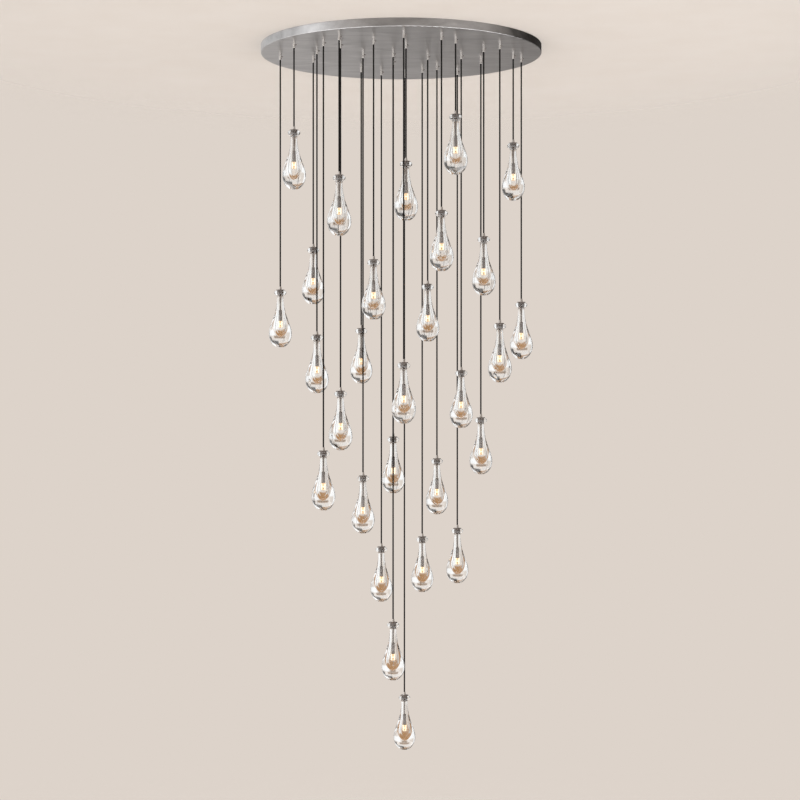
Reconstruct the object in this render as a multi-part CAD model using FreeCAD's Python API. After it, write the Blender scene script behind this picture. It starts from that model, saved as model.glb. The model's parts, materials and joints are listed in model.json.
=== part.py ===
import FreeCAD, Part
import math
import os

# A ceiling chandelier: a round canopy with 28 clear glass drops hanging from it on black cords.
# Millimetres, +Z up. The origin is the centre of the bracket's face against the ceiling.
# The front is towards -Y.

V = FreeCAD.Vector
UP = V(0, 0, 1)
FULL_TURN = 360.0

# Canopy pan: a spun pan, open to the ceiling
canopy_diameter = 1220.0
canopy_height = 35.0
canopy_sheet = 1.5
canopy_edge_radius = 3.0

# Ceiling bracket: a round plate with four arms, each with a tab turned down inside the pan's rim
plate_diameter = 460.0
plate_sheet = 4.0
wiring_hole_diameter = 60.0
bolt_circle_diameter = 400.0
bolt_count = 6
bolt_hole_diameter = 8.5
arm_count = 4
arm_width = 50.0
tab_drop = 24.0
tab_clearance = 0.1

# Canopy screws: countersunk, one through the rim into each tab
rim_screw_diameter = 4.0
rim_screw_head_diameter = 7.0
rim_screw_length = 12.0
rim_screw_depth = 14.0

# Cord
cord_diameter = 6.5

# Cord grips: a barrel under the pan, its shank through it, and a nut above.
# The bore is tight at the grip screw and flares to the mouth, so that the cord can sway.
grip_diameter = 11.0
grip_length = 28.0
grip_chamfer = 0.5
grip_shank_diameter = 9.8
grip_hole_clearance = 0.1
grip_thread_past_nut = 1.0
nut_across_flats = 15.0
nut_thickness = 4.0
nut_sides = 6
grip_bore_clearance = 0.35
sway_angle = 3.0
flare_allowance = 0.5

# Grip screw: a thumb screw in the side of the barrel, halfway down
grip_screw_diameter = 3.0
grip_screw_head_diameter = 5.0
grip_screw_head_length = 6.0
cord_past_grip_screw = 5.0

# Ferrule and cap on top of the glass
ferrule_height = 14.0
ferrule_base_diameter = 13.0
ferrule_top_diameter = 9.0
ferrule_cord_depth = 12.0
cap_diameter = 36.0
cap_thickness = 4.0
plug_length = 12.0
plug_clearance = 0.2

# Stem, lampholder and lamp inside the glass
stem_diameter = 7.0
stem_bore_diameter = 4.6
stem_length = 86.0
stem_seat = 7.0
holder_diameter = 15.0
holder_length = 50.0
holder_chamfer = 1.0
lamp_base_diameter = 13.2
lamp_seat = 11.0
lamp_gap = 0.5
lamp_diameter = 18.0
lamp_showing = 31.0
lamp_shoulder_radius = 2.0
lamp_end_radius = 6.0
fit_clearance = 0.05

# Glass drop: rolled lip, neck, flared body with a thick base, and a cavity open at the lip
drop_height = 246.0
drop_diameter = 100.0
widest_depth = 188.0
belly_radius = 75.0
base_flat_diameter = 18.0
lip_diameter = 52.0
lip_round = 8.0
lip_under_radius = 4.0
neck_diameter = 28.0
neck_depth = 26.0
bore_diameter = 19.0
bore_length = 40.0
cavity_diameter = 44.0
cavity_widest_depth = 165.0
cavity_depth = 199.0
cavity_belly_radius = 80.0
cavity_flat_diameter = 12.0

# The glass profile is a chain of straight runs, which leave its arcs by this much at most
glass_run_depth = 0.8

# Drilling plan: a square grid from the canopy's centre, to the edge of the drilled field
plan_step_count = 110
plan_margin = 60.0

# The pendants, shortest first: steps to the right, steps to the back,
# and the drop from the pan's underside to the top of the glass lip in millimetres
pendants = [
    (45, -80, 325.0),
    (-90, -60, 375.0),
    (97, -11, 395.0),
    (4, -58, 505.0),
    (-51, -94, 585.0),
    (33, -94, 730.0),
    (70, -43, 815.0),
    (-77, 6, 840.0),
    (-23, -76, 925.0),
    (23, -7, 1005.0),
    (-105, -7, 1030.0),
    (105, 4, 1080.0),
    (83, -55, 1185.0),
    (-36, 53, 1185.0),
    (-72, -33, 1230.0),
    (2, -103, 1355.0),
    (52, -10, 1380.0),
    (-51, -59, 1470.0),
    (70, 12, 1585.0),
    (-7, 17, 1670.0),
    (-65, -68, 1720.0),
    (32, 41, 1770.0),
    (-33, -15, 1835.0),
    (51, 66, 2090.0),
    (19, 56, 2125.0),
    (-18, 68, 2175.0),
    (-7, -20, 2465.0),
    (3, 81, 2860.0),
]

# Sizes that follow
canopy_radius = canopy_diameter / 2
pan_floor = canopy_sheet - canopy_height
plan_step = (canopy_radius - plan_margin) / plan_step_count
cord_radius = cord_diameter / 2
pinch_radius = cord_radius + grip_bore_clearance
grip_screw_drop = grip_length / 2
sway_axis = -canopy_height - grip_screw_drop
mouth_radius = (
    pinch_radius
    + grip_screw_drop * math.tan(math.radians(sway_angle + flare_allowance))
)
shank_length = canopy_sheet + nut_thickness + grip_thread_past_nut
pan_hole_radius = grip_shank_diameter / 2 + grip_hole_clearance
rim_screw_hole_radius = rim_screw_diameter / 2 + fit_clearance
bore_radius = bore_diameter / 2
cord_end = cap_thickness + ferrule_height - ferrule_cord_depth
holder_top = -stem_length
holder_bottom = holder_top - holder_length


def line(start, end):
    """A straight edge between two (radius, height) points of a profile."""
    return Part.LineSegment(V(start[0], 0, start[1]), V(end[0], 0, end[1])).toShape()


def arc(start, middle, end):
    """A round edge through three (radius, height) points of a profile."""
    points = [V(point[0], 0, point[1]) for point in (start, middle, end)]
    return Part.Arc(*points).toShape()


def rounded(corner, radius, side):
    """The quarter round at an outer corner of a profile, from the flat round to the upright.

    The side is 1 where the piece lies above the corner, and -1 where it lies below.
    """
    centre = (corner[0] - radius, corner[1] + side * radius)
    reach = radius * math.sin(math.pi / 4)
    return (
        (centre[0], corner[1]),
        (centre[0] + reach, centre[1] - side * reach),
        (corner[0], centre[1]),
    )


def turned(edges):
    """The solid that a closed profile sweeps about the vertical axis."""
    return Part.Face(Part.Wire(edges)).revolve(V(0, 0, 0), UP, FULL_TURN)


def lathe(points):
    """A turned solid whose profile has straight sides only."""
    ring = list(points) + [points[0]]
    return turned([line(a, b) for a, b in zip(ring, ring[1:])])


def moved(shape, x, y, z):
    """A copy of a shape, moved."""
    copy = shape.copy()
    copy.translate(V(x, y, z))
    return copy


def turned_to(shape, angle):
    """A copy of a shape, turned about the vertical axis."""
    copy = shape.copy()
    copy.rotate(V(0, 0, 0), UP, angle)
    return copy


def steps(turn, radius):
    """Even angles through a turn, so close that a straight run between two hardly leaves the arc."""
    widest = 2 * math.acos(1 - glass_run_depth / radius)
    count = math.ceil(turn / widest)
    return [turn * step / count for step in range(count + 1)]


def ogee(top, bottom, lower_radius):
    """Points down two arcs that meet smoothly and are upright at both ends."""
    spread = bottom[0] - top[0]
    fall = top[1] - bottom[1]
    side = math.copysign(1.0, spread)
    turn = 2 * math.atan(abs(spread) / fall)
    upper_radius = fall / math.sin(turn) - lower_radius

    def upper(angle):
        across = upper_radius * (1 - math.cos(angle))
        return (top[0] + side * across, top[1] - upper_radius * math.sin(angle))

    def lower(angle):
        across = lower_radius * (1 - math.cos(angle))
        return (bottom[0] - side * across, bottom[1] + lower_radius * math.sin(angle))

    first = [upper(angle) for angle in steps(turn, upper_radius)]
    second = [lower(angle) for angle in reversed(steps(turn, lower_radius))]
    return first + second[1:]


def bowl(wide, flat):
    """Points down the arc that leaves the widest point upright and ends at the edge of a flat."""
    reach = wide[0] - flat[0]
    depth = wide[1] - flat[1]
    radius = (reach ** 2 + depth ** 2) / (2 * reach)
    centre = wide[0] - radius
    turn = math.atan2(depth, radius - reach)
    return [
        (centre + radius * math.cos(angle), wide[1] - radius * math.sin(angle))
        for angle in steps(turn, radius)
    ]


def lip_edge():
    """Points out and down the rounded edge of the glass lip."""
    centre = lip_diameter / 2 - lip_round
    return [
        (centre + lip_round * math.sin(angle), lip_round * (math.cos(angle) - 1))
        for angle in steps(math.pi / 2, lip_round)
    ]


def glass_drop():
    """The glass of one pendant, with the top of its lip at height 0."""
    lip_side = (lip_diameter / 2, -lip_round)
    neck = (neck_diameter / 2, -neck_depth)
    belly = (drop_diameter / 2, -widest_depth)
    base_edge = (base_flat_diameter / 2, -drop_height)
    bore_top = (bore_radius, 0.0)
    bore_end = (bore_radius, -bore_length)
    cavity_wide = (cavity_diameter / 2, -cavity_widest_depth)
    cavity_edge = (cavity_flat_diameter / 2, -cavity_depth)
    outside = lip_edge() + ogee(lip_side, neck, lip_under_radius)[1:]
    outside += ogee(neck, belly, belly_radius)[1:] + bowl(belly, base_edge)[1:]
    outside += [(0.0, -drop_height)]
    inside = [bore_top, *ogee(bore_end, cavity_wide, cavity_belly_radius)]
    inside += bowl(cavity_wide, cavity_edge)[1:]
    inside += [(0.0, -cavity_depth)]
    return lathe(outside + inside[::-1])


def ferrule():
    """The cone on the cap that the cord ends in."""
    bore = cord_radius + fit_clearance
    top = cap_thickness + ferrule_height
    return lathe([
        (bore, cap_thickness),
        (ferrule_base_diameter / 2, cap_thickness),
        (ferrule_top_diameter / 2, top),
        (bore, top),
    ])


def cap():
    """The disc on the lip, with its plug in the glass bore."""
    bore = stem_diameter / 2 + fit_clearance
    plug_radius = bore_radius - plug_clearance
    return lathe([
        (bore, -plug_length),
        (plug_radius, -plug_length),
        (plug_radius, 0.0),
        (cap_diameter / 2, 0.0),
        (cap_diameter / 2, cap_thickness),
        (bore, cap_thickness),
    ])


def stem():
    """The tube from the cap down into the lampholder."""
    bottom = holder_top - stem_seat
    return lathe([
        (stem_bore_diameter / 2, bottom),
        (stem_diameter / 2, bottom),
        (stem_diameter / 2, cap_thickness),
        (stem_bore_diameter / 2, cap_thickness),
    ])


def lampholder():
    """The slim cylinder on the stem, bored for the stem above and for the lamp below."""
    radius = holder_diameter / 2
    stem_hole = stem_diameter / 2 + fit_clearance
    lamp_hole = lamp_base_diameter / 2 + fit_clearance
    stem_floor = holder_top - stem_seat - fit_clearance
    lamp_roof = holder_bottom + lamp_seat + fit_clearance
    return lathe([
        (0.0, stem_floor),
        (stem_hole, stem_floor),
        (stem_hole, holder_top),
        (radius - holder_chamfer, holder_top),
        (radius, holder_top - holder_chamfer),
        (radius, holder_bottom),
        (lamp_hole, holder_bottom),
        (lamp_hole, lamp_roof),
        (0.0, lamp_roof),
    ])


def lamp():
    """The capsule lamp, with rounded ends, and the narrower base that plugs into the holder."""
    base = lamp_base_diameter / 2
    side = lamp_diameter / 2
    top = holder_bottom + lamp_seat
    shoulder = holder_bottom - lamp_gap
    tip = holder_bottom - lamp_showing
    upper = rounded((side, shoulder), lamp_shoulder_radius, -1)
    lower = rounded((side, tip), lamp_end_radius, 1)
    return turned([
        line((0.0, top), (base, top)),
        line((base, top), (base, shoulder)),
        line((base, shoulder), upper[0]),
        arc(*upper),
        line(upper[2], lower[2]),
        arc(*reversed(lower)),
        line(lower[0], (0.0, tip)),
        line((0.0, tip), (0.0, top)),
    ])


def cord(hang):
    """The cord of one pendant, from above its grip screw to inside its ferrule."""
    top = hang - grip_screw_drop + cord_past_grip_screw
    length = top - cord_end
    return moved(Part.makeCylinder(cord_radius, length), 0, 0, cord_end)


def grip():
    """A cord grip, with the pan's underside at height 0."""
    radius = grip_diameter / 2
    shank = grip_shank_diameter / 2
    body = lathe([
        (mouth_radius, -grip_length),
        (radius - grip_chamfer, -grip_length),
        (radius, grip_chamfer - grip_length),
        (radius, 0.0),
        (shank, 0.0),
        (shank, shank_length),
        (pinch_radius, shank_length),
        (pinch_radius, -grip_screw_drop),
    ])
    hole = Part.makeCylinder(grip_screw_diameter / 2 + fit_clearance, grip_diameter)
    hole.rotate(V(0, 0, 0), V(0, 1, 0), 90)
    return body.cut(moved(hole, 0, 0, -grip_screw_drop))


def grip_nut():
    """The thin six-sided nut on a grip's shank, on the pan's floor."""
    corner_radius = nut_across_flats / 2 / math.cos(math.pi / nut_sides)
    corners = [
        V(corner_radius, 0, canopy_sheet)
    ]
    for side in range(nut_sides):
        angle = 2 * math.pi * (side + 1) / nut_sides
        corners.append(V(
            corner_radius * math.cos(angle), corner_radius * math.sin(angle), canopy_sheet
        ))
    block = Part.Face(Part.makePolygon(corners)).extrude(UP * nut_thickness)
    hole = Part.makeCylinder(grip_shank_diameter / 2 + fit_clearance, nut_thickness)
    return block.cut(moved(hole, 0, 0, canopy_sheet))


def screw_along_x(points):
    """A screw turned about its own length, laid along X."""
    screw = lathe(points)
    screw.rotate(V(0, 0, 0), V(0, 1, 0), 90)
    return screw


def grip_screw():
    """The thumb screw in a grip's right side, its tip just clear of the cord."""
    shank = grip_screw_diameter / 2
    head = grip_screw_head_diameter / 2
    seat = grip_diameter / 2 + fit_clearance
    outer = seat + grip_screw_head_length
    screw = screw_along_x([
        (0.0, pinch_radius),
        (shank, pinch_radius),
        (shank, seat),
        (head, seat),
        (head, outer),
        (0.0, outer),
    ])
    return moved(screw, 0, 0, -grip_screw_drop)


def rim_screw():
    """A countersunk screw through the pan's rim and into a tab, on the right of the canopy."""
    shank = rim_screw_diameter / 2
    head = rim_screw_head_diameter / 2
    neck = canopy_radius - (head - shank)
    screw = screw_along_x([
        (0.0, canopy_radius - rim_screw_length),
        (shank, canopy_radius - rim_screw_length),
        (shank, neck),
        (head, canopy_radius),
        (0.0, canopy_radius),
    ])
    return moved(screw, 0, 0, -rim_screw_depth)


def rim_screw_hole():
    """The space that a rim screw needs in the pan and in a tab."""
    shank = rim_screw_hole_radius
    head = rim_screw_head_diameter / 2 + fit_clearance
    outside = canopy_radius + canopy_sheet
    space = screw_along_x([
        (0.0, canopy_radius - rim_screw_length),
        (shank, canopy_radius - rim_screw_length),
        (shank, canopy_radius - (head - shank)),
        (head, canopy_radius),
        (head, outside),
        (0.0, outside),
    ])
    return moved(space, 0, 0, -rim_screw_depth)


def around(shape, count):
    """Copies of a shape, evenly spaced about the vertical axis."""
    return [turned_to(shape, number * FULL_TURN / count) for number in range(count)]


def canopy_pan(places):
    """The pan, drilled for every grip and countersunk for the rim screws."""
    inner = canopy_radius - canopy_sheet
    outer_round = rounded((canopy_radius, -canopy_height), canopy_edge_radius, 1)
    inner_round = rounded((inner, pan_floor), canopy_edge_radius - canopy_sheet, 1)
    pan = turned([
        line((0.0, -canopy_height), outer_round[0]),
        arc(*outer_round),
        line(outer_round[2], (canopy_radius, 0.0)),
        line((canopy_radius, 0.0), (inner, 0.0)),
        line((inner, 0.0), inner_round[2]),
        arc(*reversed(inner_round)),
        line(inner_round[0], (0.0, pan_floor)),
        line((0.0, pan_floor), (0.0, -canopy_height)),
    ])
    drill = Part.makeCylinder(pan_hole_radius, canopy_height)
    holes = [moved(drill, x, y, -canopy_height - canopy_sheet) for x, y, hang in places]
    return pan.cut(holes + around(rim_screw_hole(), arm_count))


def ceiling_bracket():
    """The plate against the ceiling, its arms, and the tabs that carry the pan's rim."""
    reach = canopy_radius - canopy_sheet - tab_clearance
    ring = lathe([
        (reach - plate_sheet, -tab_drop),
        (reach, -tab_drop),
        (reach, 0.0),
        (reach - plate_sheet, 0.0),
    ])
    sector = Part.makeBox(reach, arm_width, tab_drop, V(0, -arm_width / 2, -tab_drop))
    bar = Part.makeBox(reach, arm_width, plate_sheet, V(0, -arm_width / 2, -plate_sheet))
    disc = Part.makeCylinder(reach, plate_sheet, V(0, 0, -plate_sheet))
    arm = bar.common(disc).fuse(ring.common(sector))
    plate = Part.makeCylinder(plate_diameter / 2, plate_sheet, V(0, 0, -plate_sheet))
    whole = plate.fuse(around(arm, arm_count)).removeSplitter()
    wiring = Part.makeCylinder(wiring_hole_diameter / 2, plate_sheet, V(0, 0, -plate_sheet))
    bolt = Part.makeCylinder(
        bolt_hole_diameter / 2, plate_sheet, V(bolt_circle_diameter / 2, 0, -plate_sheet)
    )
    cuts = [wiring] + around(bolt, bolt_count) + around(rim_screw_hole(), arm_count)
    return whole.cut(cuts)


def write(node, solids):
    """One STEP file per node, of one solid or of a group of separate ones."""
    shape = solids[0] if len(solids) == 1 else Part.makeCompound(solids)
    shape.exportStep(os.path.join("parts", node + ".step"))


os.makedirs("parts", exist_ok=True)
places = [(plan_step * across, plan_step * back, hang) for across, back, hang in pendants]

write("canopy_pan", [canopy_pan(places)])
write("ceiling_bracket", [ceiling_bracket()])

grips = []
screws = around(rim_screw(), arm_count)
for x, y, hang in places:
    grips.append(moved(grip(), x, y, -canopy_height))
    grips.append(moved(grip_nut(), x, y, -canopy_height))
    screws.append(moved(grip_screw(), x, y, -canopy_height))
write("cord_grips", grips)
write("fixing_screws", screws)

drop = glass_drop()
fittings = [ferrule(), cap(), stem(), lampholder(), lamp()]
for number, (x, y, hang) in enumerate(places, start=1):
    lip_top = -canopy_height - hang
    write("crystal_drop_%02d" % number, [moved(drop, x, y, lip_top)])
    hung = [moved(cord(hang), x, y, lip_top)]
    hung += [moved(piece, x, y, lip_top) for piece in fittings]
    write("cord_set_%02d" % number, hung)
    print("pendant %02d: x %.0f, y %.0f, cord %.0f mm" % (number, x, y, hung[0].BoundBox.ZLength))
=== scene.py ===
# Looks of the crystal chandelier: hand-blown glass drops on black cords under a nickel canopy.
import json
import math
import random

import bmesh
import bpy
from mathutils import Matrix, Vector, noise
from mathutils.geometry import interpolate_bezier


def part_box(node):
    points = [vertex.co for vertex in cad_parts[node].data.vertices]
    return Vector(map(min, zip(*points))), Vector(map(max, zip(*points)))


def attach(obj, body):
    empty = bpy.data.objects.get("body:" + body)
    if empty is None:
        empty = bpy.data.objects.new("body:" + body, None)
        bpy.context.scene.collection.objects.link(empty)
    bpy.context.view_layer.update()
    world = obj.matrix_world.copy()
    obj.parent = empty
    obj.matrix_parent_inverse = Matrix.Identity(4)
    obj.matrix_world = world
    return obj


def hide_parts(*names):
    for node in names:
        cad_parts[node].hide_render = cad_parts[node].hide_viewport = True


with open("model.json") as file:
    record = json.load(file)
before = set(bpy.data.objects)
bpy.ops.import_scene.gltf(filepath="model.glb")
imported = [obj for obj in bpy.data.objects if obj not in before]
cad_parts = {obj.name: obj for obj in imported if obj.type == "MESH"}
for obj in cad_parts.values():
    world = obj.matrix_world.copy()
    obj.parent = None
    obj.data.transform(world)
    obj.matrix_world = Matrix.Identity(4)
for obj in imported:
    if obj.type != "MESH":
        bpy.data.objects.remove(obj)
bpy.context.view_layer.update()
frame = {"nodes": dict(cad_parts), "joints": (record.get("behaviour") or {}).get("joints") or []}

MM = 0.001

# Cord and the grip that it leaves
cord_diameter = 6.5 * MM
cord_in_ferrule = 6 * MM       # the cord's lower end, above the glass lip
cord_above_screw = 5 * MM      # its upper end, above the grip screw that it sways about

# Camera: level, in front of the chandelier, as the photograph was taken
camera_place = (-0.0052, -7.955, -1.5400)
camera_lens = 82.08            # mm
sensor_width = 36              # mm


# Small helpers

def hanging_places():
    """For each pendant, the height of its sway axis, and the middle of the top of its glass lip."""
    axes = {joint["name"]: joint["pos_m"] for joint in frame["joints"]}
    pins, lips = {}, {}
    for node in sorted(frame["nodes"]):
        if node.startswith("crystal_drop_"):
            number = node[-2:]
            x, y, pins[number] = axes["sway_" + number]
            lips[number] = (x, y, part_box(node)[1].z)
    return pins, lips


def shown(name, data, surfaces, number, replaced):
    """A finished piece of one pendant, which rides on its body and stands for a CAD node."""
    piece = bpy.data.objects.new(name + number, data)
    bpy.context.scene.collection.objects.link(piece)
    for surface in surfaces:
        data.materials.append(surface)
    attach(piece, "pendant_" + number)
    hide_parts(replaced + number)
    return piece


def staged(name, data, made):
    """A part of the stage, the floor or the ceiling."""
    thing = bpy.data.objects.new(name, data)
    bpy.context.scene.collection.objects.link(thing)
    data.materials.append(made)
    return thing


pins, lips = hanging_places()


# Camera

lens = bpy.data.cameras.new("camera")
lens.lens = camera_lens
lens.sensor_width = sensor_width
lens.clip_end = 200
camera = bpy.data.objects.new("camera", lens)
camera.location = camera_place
camera.rotation_euler = (math.radians(90), 0, 0)
bpy.context.scene.collection.objects.link(camera)
bpy.context.scene.camera = camera


# Colours and materials

def srgb(code, alpha=1.0):
    """A linear colour from an sRGB hex value."""
    channels = [int(code[i:i + 2], 16) / 255 for i in (1, 3, 5)]
    return [c / 12.92 if c <= 0.04045 else ((c + 0.055) / 1.055) ** 2.4 for c in channels] + [alpha]


def add(tree, kind, settings=None, out=0, **sockets):
    """Adds a node and returns one of its outputs.

    Settings are the node's properties, and a ramp's stops, as (position, hex colour) pairs.
    Each socket is named, or numbered as i0, i1 and so on, and takes an output or a value.
    """
    node = tree.nodes.new(kind)
    for key, value in (settings or {}).items():
        if key == "stops":
            band = node.color_ramp
            while len(band.elements) < len(value):
                band.elements.new(0.5)
            for element, (position, code) in zip(band.elements, value):
                element.position = position
                element.color = srgb(code)
        else:
            setattr(node, key, value)
    for key, value in sockets.items():
        numbered = key[0] == "i" and key[1:].isdigit()
        socket = node.inputs[int(key[1:])] if numbered else node.inputs[key.replace("_", " ")]
        if isinstance(value, bpy.types.NodeSocket):
            tree.links.new(value, socket)
        else:
            socket.default_value = value
    return node.outputs[out] if node.outputs else None


def material(name, **values):
    """A material with one Principled shader: the material, its tree, the shader and Object coordinates."""
    made = bpy.data.materials.new(name)
    made.use_nodes = True
    tree = made.node_tree
    shader = tree.nodes["Principled BSDF"]
    for key, value in values.items():
        shader.inputs[key.replace("_", " ")].default_value = value
    return made, tree, shader, add(tree, "ShaderNodeTexCoord", out=3)


def finish(tree, shader, **sockets):
    """Links outputs to the shader's sockets."""
    for key, value in sockets.items():
        tree.links.new(value, shader.inputs[key.replace("_", " ")])


def hand_blown_crystal():
    """Lead-free crystal, blown and fire polished: clear and smooth, with slow waves left by the blowing."""
    made, tree, shader, spot = material(
        "hand_blown_crystal", Roughness=0.0, IOR=1.52, Transmission_Weight=1.0)
    waves = add(tree, "ShaderNodeTexNoise", Vector=spot, Scale=1 / (30 * MM), Detail=1.0)
    tint = {"stops": [(0.3, "#fbfdfd"), (0.7, "#ffffff")]}
    finish(tree, shader,
           Base_Color=add(tree, "ShaderNodeValToRGB", tint, i0=waves),
           Normal=add(tree, "ShaderNodeBump", Height=waves, Distance=0.3 * MM, Strength=0.15))
    return made


def brushed_nickel_sheet():
    """Nickel-plated sheet, spun and brushed by hand: satin grey, with long soft brush marks along X."""
    made, tree, shader, spot = material("brushed_nickel_sheet", Metallic=1.0)
    broad = add(tree, "ShaderNodeMapping", Vector=spot, Scale=(0.30, 1.0, 1.0))
    marks = add(tree, "ShaderNodeTexNoise", Vector=broad, Scale=1 / (55 * MM), Detail=4.0,
                Roughness=0.55, Distortion=0.8)
    # The hairs are drawn about ten times as coarse as real brush lines, so that they show
    fine = add(tree, "ShaderNodeMapping", Vector=spot, Scale=(0.02, 1.0, 1.0))
    hairs = add(tree, "ShaderNodeTexNoise", Vector=fine, Scale=1 / (2.4 * MM), Detail=3.0)
    both = add(tree, "ShaderNodeMix", Factor=0.25, A=marks, B=hairs)
    tone = {"stops": [(0.32, "#929191"), (0.68, "#b9b8b8")]}
    finish(tree, shader,
           Base_Color=add(tree, "ShaderNodeValToRGB", tone, i0=both),
           Roughness=add(tree, "ShaderNodeMapRange", Value=both, To_Min=0.30, To_Max=0.42),
           Normal=add(tree, "ShaderNodeBump", Height=both, Distance=0.2 * MM, Strength=0.25))
    return made


def turned_nickel():
    """Nickel-plated brass, turned and satin finished: fine lathe rings round a bright warm grey."""
    made, tree, shader, spot = material("turned_nickel", Metallic=1.0)
    # The rings are drawn about five times as coarse as a lathe leaves them, so that they show
    rows = add(tree, "ShaderNodeMapping", Vector=spot, Scale=(0.02, 0.02, 1.0))
    rings = add(tree, "ShaderNodeTexNoise", Vector=rows, Scale=1 / (0.8 * MM), Detail=2.0)
    cloud = add(tree, "ShaderNodeTexNoise", Vector=spot, Scale=1 / (12 * MM), Detail=3.0)
    both = add(tree, "ShaderNodeMix", Factor=0.5, A=rings, B=cloud)
    tone = {"stops": [(0.3, "#b3aeaa"), (0.7, "#d2cdc8")]}
    finish(tree, shader,
           Base_Color=add(tree, "ShaderNodeValToRGB", tone, i0=both),
           Roughness=add(tree, "ShaderNodeMapRange", Value=both, To_Min=0.16, To_Max=0.30),
           Normal=add(tree, "ShaderNodeBump", Height=rings, Distance=0.06 * MM, Strength=0.4))
    return made


def satin_nickel_cap():
    """Nickel-plated brass cap and plug, bead blasted: a darker, even satin grey with faint lathe rings."""
    made, tree, shader, spot = material("satin_nickel_cap", Metallic=1.0)
    # The rings are drawn several times as coarse as a lathe leaves them, so that they show
    rows = add(tree, "ShaderNodeMapping", Vector=spot, Scale=(0.05, 0.05, 1.0))
    rings = add(tree, "ShaderNodeTexNoise", Vector=rows, Scale=1 / (1.2 * MM), Detail=2.0)
    cloud = add(tree, "ShaderNodeTexNoise", Vector=spot, Scale=1 / (9 * MM), Detail=3.0)
    both = add(tree, "ShaderNodeMix", Factor=0.6, A=rings, B=cloud)
    tone = {"stops": [(0.3, "#6f6966"), (0.7, "#938b87")]}
    finish(tree, shader,
           Base_Color=add(tree, "ShaderNodeValToRGB", tone, i0=both),
           Roughness=add(tree, "ShaderNodeMapRange", Value=cloud, To_Min=0.34, To_Max=0.50),
           Normal=add(tree, "ShaderNodeBump", Height=rings, Distance=0.05 * MM, Strength=0.3))
    return made


def brushed_nickel_tube():
    """Nickel-plated steel tube, brushed along its length: fine upright lines in satin grey."""
    made, tree, shader, spot = material("brushed_nickel_tube", Metallic=1.0)
    # The lines are drawn about nine times as coarse as real brush lines, so that they show
    upright = add(tree, "ShaderNodeMapping", Vector=spot, Scale=(1.0, 1.0, 0.02))
    lines = add(tree, "ShaderNodeTexNoise", Vector=upright, Scale=1 / (1.8 * MM), Detail=3.0)
    cloud = add(tree, "ShaderNodeTexNoise", Vector=spot, Scale=1 / (20 * MM), Detail=3.0)
    both = add(tree, "ShaderNodeMix", Factor=0.35, A=lines, B=cloud)
    tone = {"stops": [(0.35, "#8b8583"), (0.65, "#bdb7b4")]}
    finish(tree, shader,
           Base_Color=add(tree, "ShaderNodeValToRGB", tone, i0=both),
           Roughness=add(tree, "ShaderNodeMapRange", Value=both, To_Min=0.34, To_Max=0.48),
           Normal=add(tree, "ShaderNodeBump", Height=lines, Distance=0.08 * MM, Strength=0.4))
    return made


def screw_steel():
    """Steel screws. The countersunk ones in the rim are nickel plated to match the pan, and the
    thumb screws under it are dark nickel, a little worn.
    """
    rim_screws_above = -30 * MM
    made, tree, shader, spot = material("screw_steel", Metallic=1.0)
    wear = add(tree, "ShaderNodeTexNoise", Vector=spot, Scale=1 / (1.5 * MM), Detail=3.0)
    dark = add(tree, "ShaderNodeValToRGB", {"stops": [(0.35, "#5c5754"), (0.75, "#857f7b")]}, i0=wear)
    plated = add(tree, "ShaderNodeValToRGB", {"stops": [(0.35, "#929191"), (0.75, "#b9b8b8")]}, i0=wear)
    height = add(tree, "ShaderNodeSeparateXYZ", out=2, Vector=spot)
    in_rim = add(tree, "ShaderNodeMath", {"operation": "GREATER_THAN"}, i0=height,
                 i1=rim_screws_above)
    tone = add(tree, "ShaderNodeMix", {"data_type": "RGBA"}, out=2, i0=in_rim, i6=dark, i7=plated)
    finish(tree, shader, Base_Color=tone,
           Roughness=add(tree, "ShaderNodeMapRange", Value=wear, To_Min=0.30, To_Max=0.46))
    return made


def zinc_plated_steel():
    """Pressed steel plate, zinc plated: cool grey with faint cloudy spangle."""
    made, tree, shader, spot = material("zinc_plated_steel", Metallic=1.0)
    flakes = add(tree, "ShaderNodeTexVoronoi", out=1, Vector=spot, Scale=1 / (14 * MM))
    flake = add(tree, "ShaderNodeSeparateColor", Color=flakes)
    cloud = add(tree, "ShaderNodeTexNoise", Vector=spot, Scale=1 / (40 * MM), Detail=4.0)
    both = add(tree, "ShaderNodeMix", Factor=0.6, A=flake, B=cloud)
    tone = {"stops": [(0.2, "#9da3a8"), (0.8, "#c3c7ca")]}
    finish(tree, shader,
           Base_Color=add(tree, "ShaderNodeValToRGB", tone, i0=both),
           Roughness=add(tree, "ShaderNodeMapRange", Value=both, To_Min=0.32, To_Max=0.48))
    return made


def black_braided_cord():
    """Round lighting flex in a black textile braid: dull and dark, with a fine spiral weave."""
    made, tree, shader, spot = material("black_braided_cord", Roughness=0.8, Specular_IOR_Level=0.15)
    # The rows are drawn about six times as coarse as a real braid's, so that they show. The wave
    # texture has twenty radians to a unit of its scale.
    row_apart = 10.053 * MM
    rows = {"wave_type": "BANDS", "bands_direction": "Z"}
    weave = add(tree, "ShaderNodeTexWave", rows, out=1, Vector=spot, Scale=math.tau / (20 * row_apart),
                Distortion=1.5, Detail=2.0)
    tone = {"stops": [(0.0, "#060505"), (1.0, "#141312")]}
    finish(tree, shader,
           Base_Color=add(tree, "ShaderNodeValToRGB", tone, i0=weave),
           Normal=add(tree, "ShaderNodeBump", Height=weave, Distance=0.25 * MM, Strength=0.5))
    return made


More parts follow.
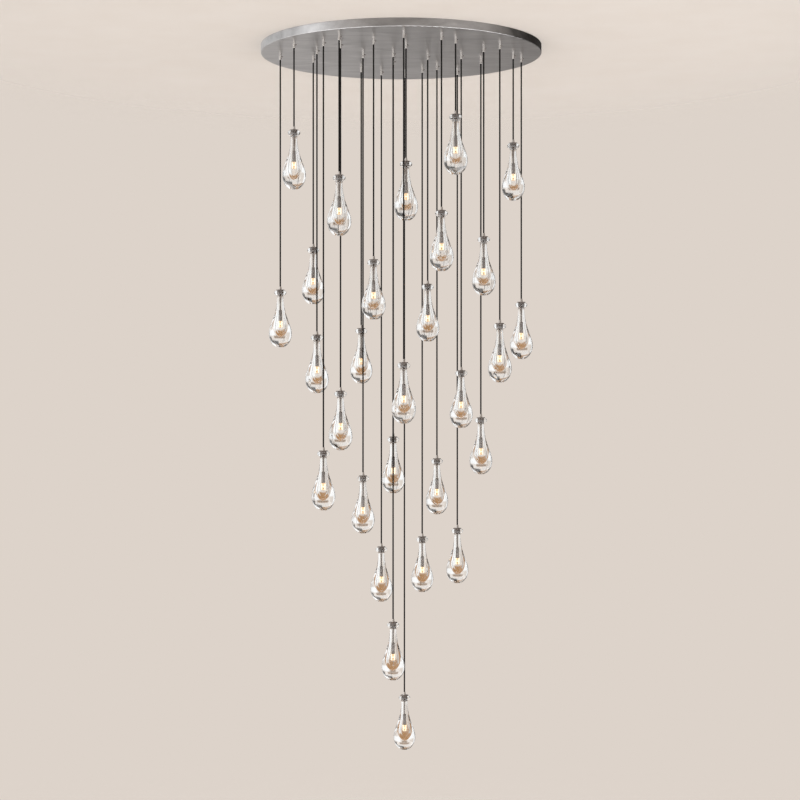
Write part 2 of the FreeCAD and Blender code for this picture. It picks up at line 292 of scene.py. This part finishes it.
def lamp_quartz():
    """The lamp's capsule, drawn quartz glass: clear, with a faint haze that glows with the filament."""
    made, tree, shader, spot = material(
        "lamp_quartz", Roughness=0.05, IOR=1.46, Transmission_Weight=1.0, Emission_Color=srgb("#ffe2bf"))
    haze = add(tree, "ShaderNodeTexNoise", Vector=spot, Scale=1 / (5 * MM), Detail=2.0)
    tone = {"stops": [(0.3, "#fff2e0"), (0.7, "#fffaf2")]}
    finish(tree, shader,
           Base_Color=add(tree, "ShaderNodeValToRGB", tone, i0=haze),
           Emission_Strength=add(tree, "ShaderNodeMapRange", Value=haze, To_Min=0.10, To_Max=0.20))
    return made


def lit_ceramic():
    """The lamp's ceramic core, lit through by the filament: cream, its glow a little uneven."""
    made, tree, shader, spot = material(
        "lit_ceramic", Base_Color=srgb("#ecd2b0"), Roughness=0.6, Emission_Color=srgb("#ffe0bb"))
    cloud = add(tree, "ShaderNodeTexNoise", Vector=spot, Scale=1 / (6 * MM), Detail=2.0)
    finish(tree, shader,
           Emission_Strength=add(tree, "ShaderNodeMapRange", Value=cloud, To_Min=0.40, To_Max=0.65))
    return made


def glowing_filament():
    """A lit filament: warm white, a little uneven along its length."""
    made, tree, shader, spot = material(
        "glowing_filament", Base_Color=srgb("#ffe6c0"), Emission_Color=srgb("#fff0d8"))
    flicker = add(tree, "ShaderNodeTexNoise", Vector=spot, Scale=1 / (3 * MM), Detail=2.0)
    finish(tree, shader,
           Emission_Strength=add(tree, "ShaderNodeMapRange", Value=flicker, To_Min=1.1, To_Max=1.7))
    return made


def amber_bead():
    """The sealed tip of the lamp, a bead of amber-brown glass."""
    made, tree, shader, spot = material("amber_bead", Roughness=0.2, Specular_IOR_Level=0.4)
    cloud = add(tree, "ShaderNodeTexNoise", Vector=spot, Scale=1 / (2 * MM), Detail=2.0)
    tone = {"stops": [(0.3, "#7d5230"), (0.7, "#a3703f")]}
    finish(tree, shader, Base_Color=add(tree, "ShaderNodeValToRGB", tone, i0=cloud))
    return made


crystal = hand_blown_crystal()
sheet_nickel = brushed_nickel_sheet()
bright_nickel = turned_nickel()
cap_nickel = satin_nickel_cap()
tube_nickel = brushed_nickel_tube()
screws = screw_steel()
zinc = zinc_plated_steel()
braid = black_braided_cord()
quartz = lamp_quartz()
ceramic = lit_ceramic()
filament = glowing_filament()
amber = amber_bead()


# Cords

def hang_cord(number):
    """The cord from the grip screw straight down into the ferrule, pulled taut by the glass."""
    x, y, lip = lips[number]
    top = pins[number] + cord_above_screw
    bottom = lip + cord_in_ferrule
    curve = bpy.data.curves.new("cord_" + number, "CURVE")
    curve.dimensions = "3D"
    curve.bevel_depth = cord_diameter / 2
    curve.bevel_resolution = 6
    curve.use_fill_caps = True
    curve.resolution_u = 2
    spline = curve.splines.new("NURBS")
    heights = [top, top + (bottom - top) / 3, bottom + (top - bottom) / 3, bottom]
    spline.points.add(len(heights) - 1)
    for point, height in zip(spline.points, heights):
        point.co = (x, y, height, 1.0)
    spline.order_u = 3
    spline.use_endpoint_u = True
    piece = shown("cord_", curve, [braid], number, "cord_set_")


for number in lips:
    hang_cord(number)


# Turned shapes

def chained(mesh, outline):
    """A chain of (radius, height) points in millimetres: its vertices, and the edges between them."""
    chain = [mesh.verts.new((radius * MM, 0, height * MM)) for radius, height in outline]
    return chain, [mesh.edges.new(pair) for pair in zip(chain, chain[1:])]


def spin(mesh, geometry, segments):
    """Spins vertices and edges once about the vertical axis, and merges the points that meet on it."""
    bmesh.ops.spin(mesh, geom=geometry, axis=(0, 0, 1), cent=(0, 0, 0), steps=segments,
                   angle=math.tau, use_merge=True)
    bmesh.ops.remove_doubles(mesh, verts=mesh.verts[:], dist=0.001 * MM)


def surface_added(mesh, before, surface):
    """Gives the faces that weren't there before a material slot, by its number."""
    for face in mesh.faces:
        if face not in before:
            face.material_index = surface


def turn(mesh, outline, segments, surface=0):
    """Adds a turned shape. An outline that doesn't end on the axis is closed into a ring."""
    before = set(mesh.faces)
    chain, edges = chained(mesh, outline)
    if outline[-1][0] > 0:
        edges.append(mesh.edges.new((chain[-1], chain[0])))
    spin(mesh, chain + edges, segments)
    surface_added(mesh, before, surface)


def finished(mesh, name, place, sharp=None):
    """Ends a bmesh as a mesh in its place, with outward normals and smooth shading up to an angle."""
    bmesh.ops.recalc_face_normals(mesh, faces=mesh.faces[:])
    bmesh.ops.transform(mesh, matrix=Matrix.Translation(place), verts=mesh.verts[:])
    data = bpy.data.meshes.new(name)
    mesh.to_mesh(data)
    mesh.free()
    data.shade_smooth()
    if sharp:
        data.set_sharp_from_angle(angle=math.radians(sharp))
    return data


def curve_points(start, start_handle, end_handle, end, count):
    """Points down a smooth curve of a profile, without its last one."""
    knots = [Vector(point) for point in (start, start_handle, end_handle, end)]
    return [tuple(point) for point in interpolate_bezier(*knots, count + 1)][:-1]


def swell(top, bottom, upper_radius, lower_radius, count):
    """A smooth S that is upright at both ends, with these radii of curvature there."""
    # Such a curve ends with the radius 1.5 * handle ** 2 / spread
    spread = abs(bottom[0] - top[0])
    upper, lower = (math.sqrt(radius * spread / 1.5) for radius in (upper_radius, lower_radius))
    return curve_points(top, (top[0], top[1] - upper), (bottom[0], bottom[1] + lower), bottom, count)


# Glass drops

# Sizes of the glass in millimetres, as (radius, height above the top of the lip)
lip_edge = 26.0
lip_round = 8.0
neck = (14.0, -26.0)
belly = (50.0, -188.0)
base = (9.0, -246.0)
bore = 9.5
bore_end = (bore, -40.0)
cavity_widest = (22.0, -165.0)
cavity_floor = (5.0, -199.0)
cavity_bottom = -200.4
round_steps = 96               # faces round a drop

# Radii of curvature of its long curves, in millimetres
under_lip_bend = 15.5
above_neck_bend = 4.0
below_neck_bend = 307.0
belly_bend = 75.0
bore_end_bend = 551.0
cavity_bend = 80.0

# Handles of its short curves, in millimetres
rim_round = 2.0                # the bore's rim
rim_handle = 0.9
flat_handle = 1.0              # the flat top of the lip
lip_handle = 4.4               # the lip's round edge
belly_handle = 31
base_handle = 18
cavity_end_handles = ((22.0, -180.0), (15.0, -193.5))
cavity_floor_handles = ((3.4, -200.0), (1.6, cavity_bottom))

# How uneven the hand-blown wall is, in millimetres
lean_most = 1.2                # the cavity's lower end, off the axis
deep_most = 2.0                # the cavity's floor, up or down
wall_waves = 0.35              # slow waves in the cavity's wall
skin_waves = 0.10              # slow waves in the outside
wave_length = 36.0
even_above = -60.0             # the neck is even down to here, and the waves grow over the next stretch
grows_over = 80.0
wave_stretch = Vector((1, 1, 0.6))
ripple_share = 0.4             # of finer waves on the slow ones
ripple_finer = 2.3
noise_spread = 9               # how far apart the drops lie in the noise
glass_seed = 100


def outside_profile():
    """The outside of the glass, from the bore's rim over the lip and down to the middle of the base."""
    side = (lip_edge, -lip_round)
    crown = (lip_edge - lip_round, 0.0)
    rim = (bore + rim_round, 0.0)
    points = curve_points((bore, -rim_round), (bore, -rim_handle), (bore + rim_handle, 0.0), rim, 4)
    points += curve_points(rim, (rim[0] + flat_handle, 0.0), (crown[0] - flat_handle, 0.0), crown, 2)
    points += curve_points(crown, (crown[0] + lip_handle, 0.0), (side[0], side[1] + lip_handle), side, 9)
    points += swell(side, neck, under_lip_bend, above_neck_bend, 12)
    points += swell(neck, belly, below_neck_bend, belly_bend, 34)
    points += curve_points(belly, (belly[0], belly[1] - belly_handle), (base[0] + base_handle, base[1]),
                           base, 20)
    points += curve_points(base, (base[0] * 2 / 3, base[1]), (base[0] / 3, base[1]), (0.0, base[1]), 2)
    return points + [(0.0, base[1])]


def cavity_profile():
    """The inside of the glass, from the bottom of the cavity up to the bore."""
    bottom = (0.0, cavity_bottom)
    down = swell(bore_end, cavity_widest, bore_end_bend, cavity_bend, 30)
    down += curve_points(cavity_widest, *cavity_end_handles, cavity_floor, 16)
    down += curve_points(cavity_floor, *cavity_floor_handles, bottom, 3)
    bore_rows = 10
    shank = [(bore, bore_end[1] * row / bore_rows) for row in range(1, bore_rows)]
    return [bottom] + down[::-1] + shank[::-1]


def drop_glass(number):
    """One drop: its wall is uneven, as blown by hand, so that each bends the light in its own way."""
    dice = random.Random(glass_seed + int(number))
    mesh = bmesh.new()
    within = mesh.verts.layers.float.new("within")
    outer, outer_edges = chained(mesh, outside_profile())
    inner, inner_edges = chained(mesh, cavity_profile())
    for vertex in inner:
        vertex[within] = 1.0
    joined = mesh.edges.new((inner[-1], outer[0]))
    spin(mesh, outer + inner + outer_edges + inner_edges + [joined], round_steps)
    lean = Vector((dice.uniform(-1, 1), dice.uniform(-1, 1), 0)) * lean_most * MM
    deeper = dice.uniform(-1, 1) * deep_most * MM
    shift = Vector([dice.uniform(-noise_spread, noise_spread) for axis in "xyz"])
    for vertex in mesh.verts:
        low = min(1.0, max(0.0, (even_above * MM - vertex.co.z) / (grows_over * MM)))
        away = Vector((vertex.co.x, vertex.co.y, 0)).normalized()
        spot = vertex.co * wave_stretch / (wave_length * MM) + shift
        wave = (noise.noise(spot) + ripple_share * noise.noise(spot * ripple_finer)) * low
        if vertex[within] > 0.5:
            vertex.co += away * wave * wall_waves * MM + lean * low
            vertex.co.z += deeper * low
        else:
            vertex.co += away * wave * skin_waves * MM
    mesh.verts.layers.float.remove(within)
    data = finished(mesh, "glass_drop_" + number, lips[number])
    shown("glass_drop_", data, [crystal], number, "crystal_drop_")


# Fittings on and in the glass

# Outlines in millimetres, (radius, height above the top of the glass lip)
ferrule_outline = [
    (3.3, 4.0), (6.5, 4.0), (6.5, 5.4), (6.1, 6.0), (5.8, 6.8), (4.8, 16.4), (4.5, 17.6), (4.0, 18.0),
    (3.3, 17.6),
]
# The plug is cemented into the bore, so its side lies a hair inside the glass
cap_outline = [
    (3.6, -16.0), (9.0, -16.0), (9.55, -15.5), (9.55, -0.1), (17.4, -0.1), (18.0, 0.5), (18.0, 2.8),
    (17.6, 3.6), (16.6, 4.0), (3.6, 4.0),
]
stem_outline = [(2.3, -93.0), (3.5, -93.0), (3.5, 4.0), (2.3, 4.0)]
holder_outline = [
    (3.6, -86.0), (5.2, -86.0), (6.6, -86.4), (7.3, -87.2), (7.5, -88.2), (7.5, -92.4), (7.2, -92.7),
    (7.2, -93.3), (7.5, -93.6), (7.5, -131.2), (7.2, -131.5), (7.2, -132.1), (7.5, -132.4),
    (7.5, -135.4), (7.1, -136.0), (6.8, -136.0), (6.8, -124.6), (3.6, -124.6),
]
# Each fitting's outline, the faces round it, and its finish as the number of its material slot
fittings = [(ferrule_outline, 40, 0), (cap_outline, 56, 1), (stem_outline, 24, 2), (holder_outline, 40, 2)]
fitting_finishes = [bright_nickel, cap_nickel, tube_nickel]
fitting_crease = 35            # degrees, and a sharper edge stays sharp


def nickel_fittings(number):
    """Ferrule, cap with its plug, stem and lampholder of one pendant: the ferrule and the cap each with its
    own finish, and the stem and lampholder sharing one.
    """
    mesh = bmesh.new()
    for outline, segments, surface in fittings:
        turn(mesh, outline, segments, surface)
    data = finished(mesh, "nickel_fittings_" + number, lips[number], sharp=fitting_crease)
    shown("nickel_fittings_", data, fitting_finishes, number, "cord_set_")


# Lamps

# Outlines in millimetres, (radius, height above the top of the glass lip)
capsule_outline = [
    (0.0, -137.6), (6.6, -137.6), (6.6, -136.5), (7.4, -136.6), (8.3, -137.1), (8.8, -137.8),
    (9.0, -138.6), (9.0, -161.0), (8.7, -162.9), (7.9, -164.7), (6.6, -166.0), (4.9, -166.8),
    (3.0, -167.0), (0.0, -167.0),
]
lamp_base_outline = [(0.0, -125.0), (6.2, -125.0), (6.6, -125.4), (6.6, -137.5), (0.0, -137.5)]
capsule_faces = 40
lamp_base_faces = 32
lamp_crease = 50               # degrees, and a sharper edge stays sharp

# The filament frame inside the capsule, in millimetres
bar_apart = 10.0               # between the two upright bars
bar_thick = 3.0
bar_round = 1.2
bar_top = -139.5
bar_bottom = -163.0
cross_height = -150.5
board_wide = 7.4
board_thick = 1.2
board_round = 0.4
bead_height = -158.0
bead_size = 3.4
bead_stretch = (1, 1.2, 1.3)
lamp_turn_most = 12            # degrees that a lamp may be turned in its holder
lamp_seed = 500


def block(mesh, centre, size, round_off, surface=0):
    """Adds a block with rounded edges. Its sizes are in millimetres."""
    before = set(mesh.faces)
    made = bmesh.ops.create_cube(mesh, size=1.0)["verts"]
    bmesh.ops.scale(mesh, vec=[length * MM for length in size], verts=made)
    bmesh.ops.translate(mesh, vec=[place * MM for place in centre], verts=made)
    edges = list({edge: True for vertex in made for edge in vertex.link_edges})
    bmesh.ops.bevel(mesh, geom=edges, offset=round_off * MM, offset_type="OFFSET", segments=3,
                    profile=0.5, affect="EDGES", material=-1)
    surface_added(mesh, before, surface)


def lamp(number):
    """A capsule lamp that is lit: its glass, and inside it two glowing bars on a ceramic board."""
    dice = random.Random(lamp_seed + int(number))
    mesh = bmesh.new()
    turn(mesh, capsule_outline, capsule_faces)
    data = finished(mesh, "lamp_" + number, lips[number], sharp=lamp_crease)
    shown("lamp_", data, [quartz], number, "cord_set_")

    mesh = bmesh.new()
    middle = (bar_top + bar_bottom) / 2
    tall = bar_top - bar_bottom
    for side in (-1, 1):
        block(mesh, (side * bar_apart / 2, 0, middle), (bar_thick, bar_thick, tall), bar_round)
    block(mesh, (0, 0, cross_height), (bar_apart, bar_thick, bar_thick), bar_round)
    block(mesh, (0, 0, middle), (board_wide, board_thick, tall), board_round, 1)
    turn(mesh, lamp_base_outline, lamp_base_faces, 1)
    before = set(mesh.faces)
    bead = bmesh.ops.create_icosphere(mesh, subdivisions=2, radius=bead_size / 2 * MM)["verts"]
    bmesh.ops.scale(mesh, vec=bead_stretch, verts=bead)
    bmesh.ops.translate(mesh, vec=(0, 0, bead_height * MM), verts=bead)
    surface_added(mesh, before, 2)
    turned = Matrix.Rotation(math.radians(dice.uniform(-lamp_turn_most, lamp_turn_most)), 3, "Z")
    bmesh.ops.rotate(mesh, cent=(0, 0, 0), matrix=turned, verts=mesh.verts[:])
    data = finished(mesh, "lamp_core_" + number, lips[number], sharp=lamp_crease)
    shown("lamp_core_", data, [filament, ceramic, amber], number, "cord_set_")


for number in lips:
    drop_glass(number)
    nickel_fittings(number)
    lamp(number)


# Canopy, bracket, grips and screws

def dress(node, made):
    """Gives a CAD node its material."""
    data = frame["nodes"][node].data
    data.materials.clear()
    data.materials.append(made)


dress("canopy_pan", sheet_nickel)
dress("ceiling_bracket", zinc)
dress("cord_grips", bright_nickel)
dress("fixing_screws", screws)


# Stage, lamps and world

# The stage and its lamps, in metres and watts
ceiling_height = 1 * MM        # over the canopy, so that the two share no face
ceiling_radius = 3.0
ceiling_fade = (0.7, 2.9)      # whole out to the first radius, and gone at the second
floor_height = -4.2
floor_radius = 6.0
floor_fade = (2.0, 5.5)
disc_faces = 96                # round the rim of either
lamp_aim = (0, 0, -1.4)
lamp_size = (2.0, 3.0)
key_power = 90
fill_power = 45
backdrop = "#ddd3ca"           # what the camera sees behind the object
even_light = "#efe9e4"         # what dull faces get from all round


def fading_plaster(name, fade):
    """Pale painted plaster that is whole near the middle, fades out, and is seen from one side only."""
    made, tree, shader, spot = material(name, Roughness=0.9, Specular_IOR_Level=0.2)
    cloud = add(tree, "ShaderNodeTexNoise", Vector=spot, Scale=1 / (250 * MM), Detail=3.0)
    reach = add(tree, "ShaderNodeVectorMath", {"operation": "LENGTH"}, out=1, i0=spot)
    edge = add(tree, "ShaderNodeMapRange", {"interpolation_type": "SMOOTHSTEP"}, Value=reach,
               From_Min=fade[0], From_Max=fade[1], To_Min=1.0, To_Max=0.0)
    back = add(tree, "ShaderNodeNewGeometry", out=6)
    front = add(tree, "ShaderNodeMath", {"operation": "SUBTRACT"}, i0=1.0, i1=back)
    tone = {"stops": [(0.3, "#e9e4df"), (0.7, "#ece8e4")]}
    finish(tree, shader,
           Base_Color=add(tree, "ShaderNodeValToRGB", tone, i0=cloud),
           Alpha=add(tree, "ShaderNodeMath", {"operation": "MULTIPLY"}, i0=edge, i1=front))
    return made


def disc(name, radius, height, upwards, made):
    """A flat round surface of the stage. Glass and metal see the room behind it instead."""
    mesh = bmesh.new()
    bmesh.ops.create_circle(mesh, cap_ends=True, segments=disc_faces, radius=radius)
    bmesh.ops.recalc_face_normals(mesh, faces=mesh.faces[:])
    if (mesh.faces[:][0].normal.z > 0) != upwards:
        bmesh.ops.reverse_faces(mesh, faces=mesh.faces[:])
    data = bpy.data.meshes.new(name)
    mesh.to_mesh(data)
    mesh.free()
    thing = staged(name, data, made)
    thing.location = (0, 0, height)
    thing.visible_transmission = False
    thing.visible_glossy = False


disc("ceiling", ceiling_radius, ceiling_height, False, fading_plaster("ceiling_plaster", ceiling_fade))
disc("floor", floor_radius, floor_height, True, fading_plaster("floor_plaster", floor_fade))


def soft_lamp(name, place, power, colour):
    """A large soft lamp that points at the middle of the object. It isn't seen itself."""
    light = bpy.data.lights.new(name, "AREA")
    light.shape = "RECTANGLE"
    light.size, light.size_y = lamp_size
    light.energy = power
    light.color = srgb(colour)[:3]
    thing = bpy.data.objects.new(name, light)
    thing.location = place
    thing.rotation_euler = (Vector(lamp_aim) - Vector(place)).to_track_quat("-Z", "Y").to_euler()
    thing.visible_camera = False
    thing.visible_transmission = False
    thing.visible_glossy = False
    bpy.context.scene.collection.objects.link(thing)


soft_lamp("key_lamp", (-3.5, -4.5, -0.6), key_power, "#fff8f0")
soft_lamp("fill_lamp", (4.0, -3.0, -2.2), fill_power, "#fffaf5")

# The room is drawn twice: as metal and outer faces mirror it, and as glass bends it.
# Walls are (share of a turn, colour). The turn starts at the left, and passes the camera at a
# quarter, the right at a half and the back at three quarters.
# Cards are the direction from behind the object towards the right, half the width, the lowest and
# highest elevation, all in degrees, the colour and the strength. A later card lies over the earlier.
mirrored_walls = [
    (0.00, "#d8d0ca"), (0.12, "#ebe3dd"), (0.20, "#b9b0a9"), (0.26, "#b4aba4"), (0.41, "#f3ebe5"),
    (0.48, "#a8a099"), (0.60, "#6f6a66"), (0.73, "#85807d"), (0.77, "#f4f0ee"), (1.00, "#d8d0ca"),
]
mirrored_cards = [
    (0, 181, 36, 91, "#d9cfc6", 1.0),          # above
    (0, 181, -91, -36, "#b9a999", 1.0),        # the floor, warm
    (180, 140, -76, -30, "#ffffff", 3.0),      # pale rug, round the front
    (180, 75, -32, -12, "#ffffff", 2.4),       # in front and low
    (-104, 16, -34, 36, "#ffffff", 2.0),       # window at the left
    (-60, 28, -34, 16, "#ffffff", 1.1),        # pale curtain beside it
    (48, 33, -6, 40, "#2c2825", 1.0),          # dark, at the right
]
bent_walls = [
    (0.00, "#e6ded6"), (0.12, "#c8c0b9"), (0.25, "#a39b95"), (0.38, "#b5ada6"), (0.50, "#8f8780"),
    (0.58, "#c4bbb3"), (0.66, "#e6dcd3"), (0.84, "#e6dcd3"), (0.92, "#e6ded6"), (1.00, "#e6ded6"),
]
bent_cards = [
    (0, 181, 36, 91, "#ab8b6e", 1.0),          # above, warm
    (180, 75, -32, -12, "#ffffff", 1.3),       # in front and low
    (-84, 34, -34, 36, "#ffffff", 1.2),        # window at the left
    (-32, 18, -24, -3, "#ffffff", 1.05),       # pale curtain beside it
    (38, 22, -11, 8, "#ffffff", 1.0),          # pale, at the right behind
    (0, 181, -91, -38, "#b08459", 1.0),        # the floor, warm
    (8, 32, -40, -23, "#b08459", 1.0),         # where it reaches farther back
    (0, 21, 8, 16, "#8a7057", 1.0),            # brown rail behind
    (0, 10, 1, 8, "#8a7057", 1.0),             # its post
    (0, 30, 19, 33, "#d5cec8", 1.0),           # pale gap over it
    (40, 36, 26, 62, "#2c2825", 1.0),          # dark, high at the right
    (62, 22, 13, 40, "#2c2825", 1.0),          # dark, at the right
    (-71, 5, -34, 10, "#2c2825", 1.0),         # dark and narrow, at the left
]
card_edge = 2.5                # degrees over which a card's edge fades
back_share = 0.75              # where on the turn the back is


def room(tree, about, elevation, walls, cards):
    """The walls with the cards over them, as one colour."""
    made = add(tree, "ShaderNodeValToRGB", {"stops": walls}, i0=about)
    edge = math.radians(card_edge)
    for direction, half, low, high, code, strength in cards:
        past = add(tree, "ShaderNodeMath", {"operation": "SUBTRACT"}, i0=about,
                   i1=back_share - direction / 360)
        apart = add(tree, "ShaderNodeMath", {"operation": "WRAP"}, i0=past, i1=0.5, i2=-0.5)
        apart = add(tree, "ShaderNodeMath", {"operation": "ABSOLUTE"}, i0=apart)
        across = add(tree, "ShaderNodeMapRange", Value=apart, From_Min=(half + card_edge) / 360,
                     From_Max=(half - card_edge) / 360)
        above = add(tree, "ShaderNodeMapRange", Value=elevation, From_Min=math.radians(low) - edge,
                    From_Max=math.radians(low) + edge)
        below = add(tree, "ShaderNodeMapRange", Value=elevation, From_Min=math.radians(high) + edge,
                    From_Max=math.radians(high) - edge)
        within = add(tree, "ShaderNodeMath", {"operation": "MULTIPLY"}, i0=above, i1=below)
        within = add(tree, "ShaderNodeMath", {"operation": "MULTIPLY"}, i0=within, i1=across)
        colour = [channel * strength for channel in srgb(code)]
        made = add(tree, "ShaderNodeMix", {"data_type": "RGBA"}, out=2, i0=within, i6=made, i7=colour)
    return made


def studio_world():
    """The room round the object. The camera sees a plain pale backdrop, and dull faces an even light."""
    world = bpy.data.worlds.new("studio")
    world.use_nodes = True
    bpy.context.scene.world = world
    tree = world.node_tree
    tree.nodes.clear()
    way = add(tree, "ShaderNodeTexCoord")
    height = add(tree, "ShaderNodeSeparateXYZ", out=2, Vector=way)
    elevation = add(tree, "ShaderNodeMath", {"operation": "ARCSINE"}, i0=height)
    about = add(tree, "ShaderNodeTexGradient", {"gradient_type": "RADIAL"}, out=1, Vector=way)
    path = tree.nodes.new("ShaderNodeLightPath").outputs
    seen = srgb(even_light)
    for ray, colour in (
            ("Is Glossy Ray", room(tree, about, elevation, mirrored_walls, mirrored_cards)),
            ("Is Transmission Ray", room(tree, about, elevation, bent_walls, bent_cards)),
            ("Is Camera Ray", srgb(backdrop))):
        seen = add(tree, "ShaderNodeMix", {"data_type": "RGBA"}, out=2, i0=path[ray], i6=seen, i7=colour)
    shader = add(tree, "ShaderNodeBackground", Color=seen, Strength=1.0)
    add(tree, "ShaderNodeOutputWorld", Surface=shader)


studio_world()

scene = bpy.context.scene
scene.view_settings.view_transform = "Standard"
scene.cycles.max_bounces = 16
scene.cycles.transmission_bounces = 14
scene.cycles.glossy_bounces = 6
scene.cycles.transparent_max_bounces = 12
scene.cycles.sample_clamp_indirect = 6
scene.cycles.use_denoising = True
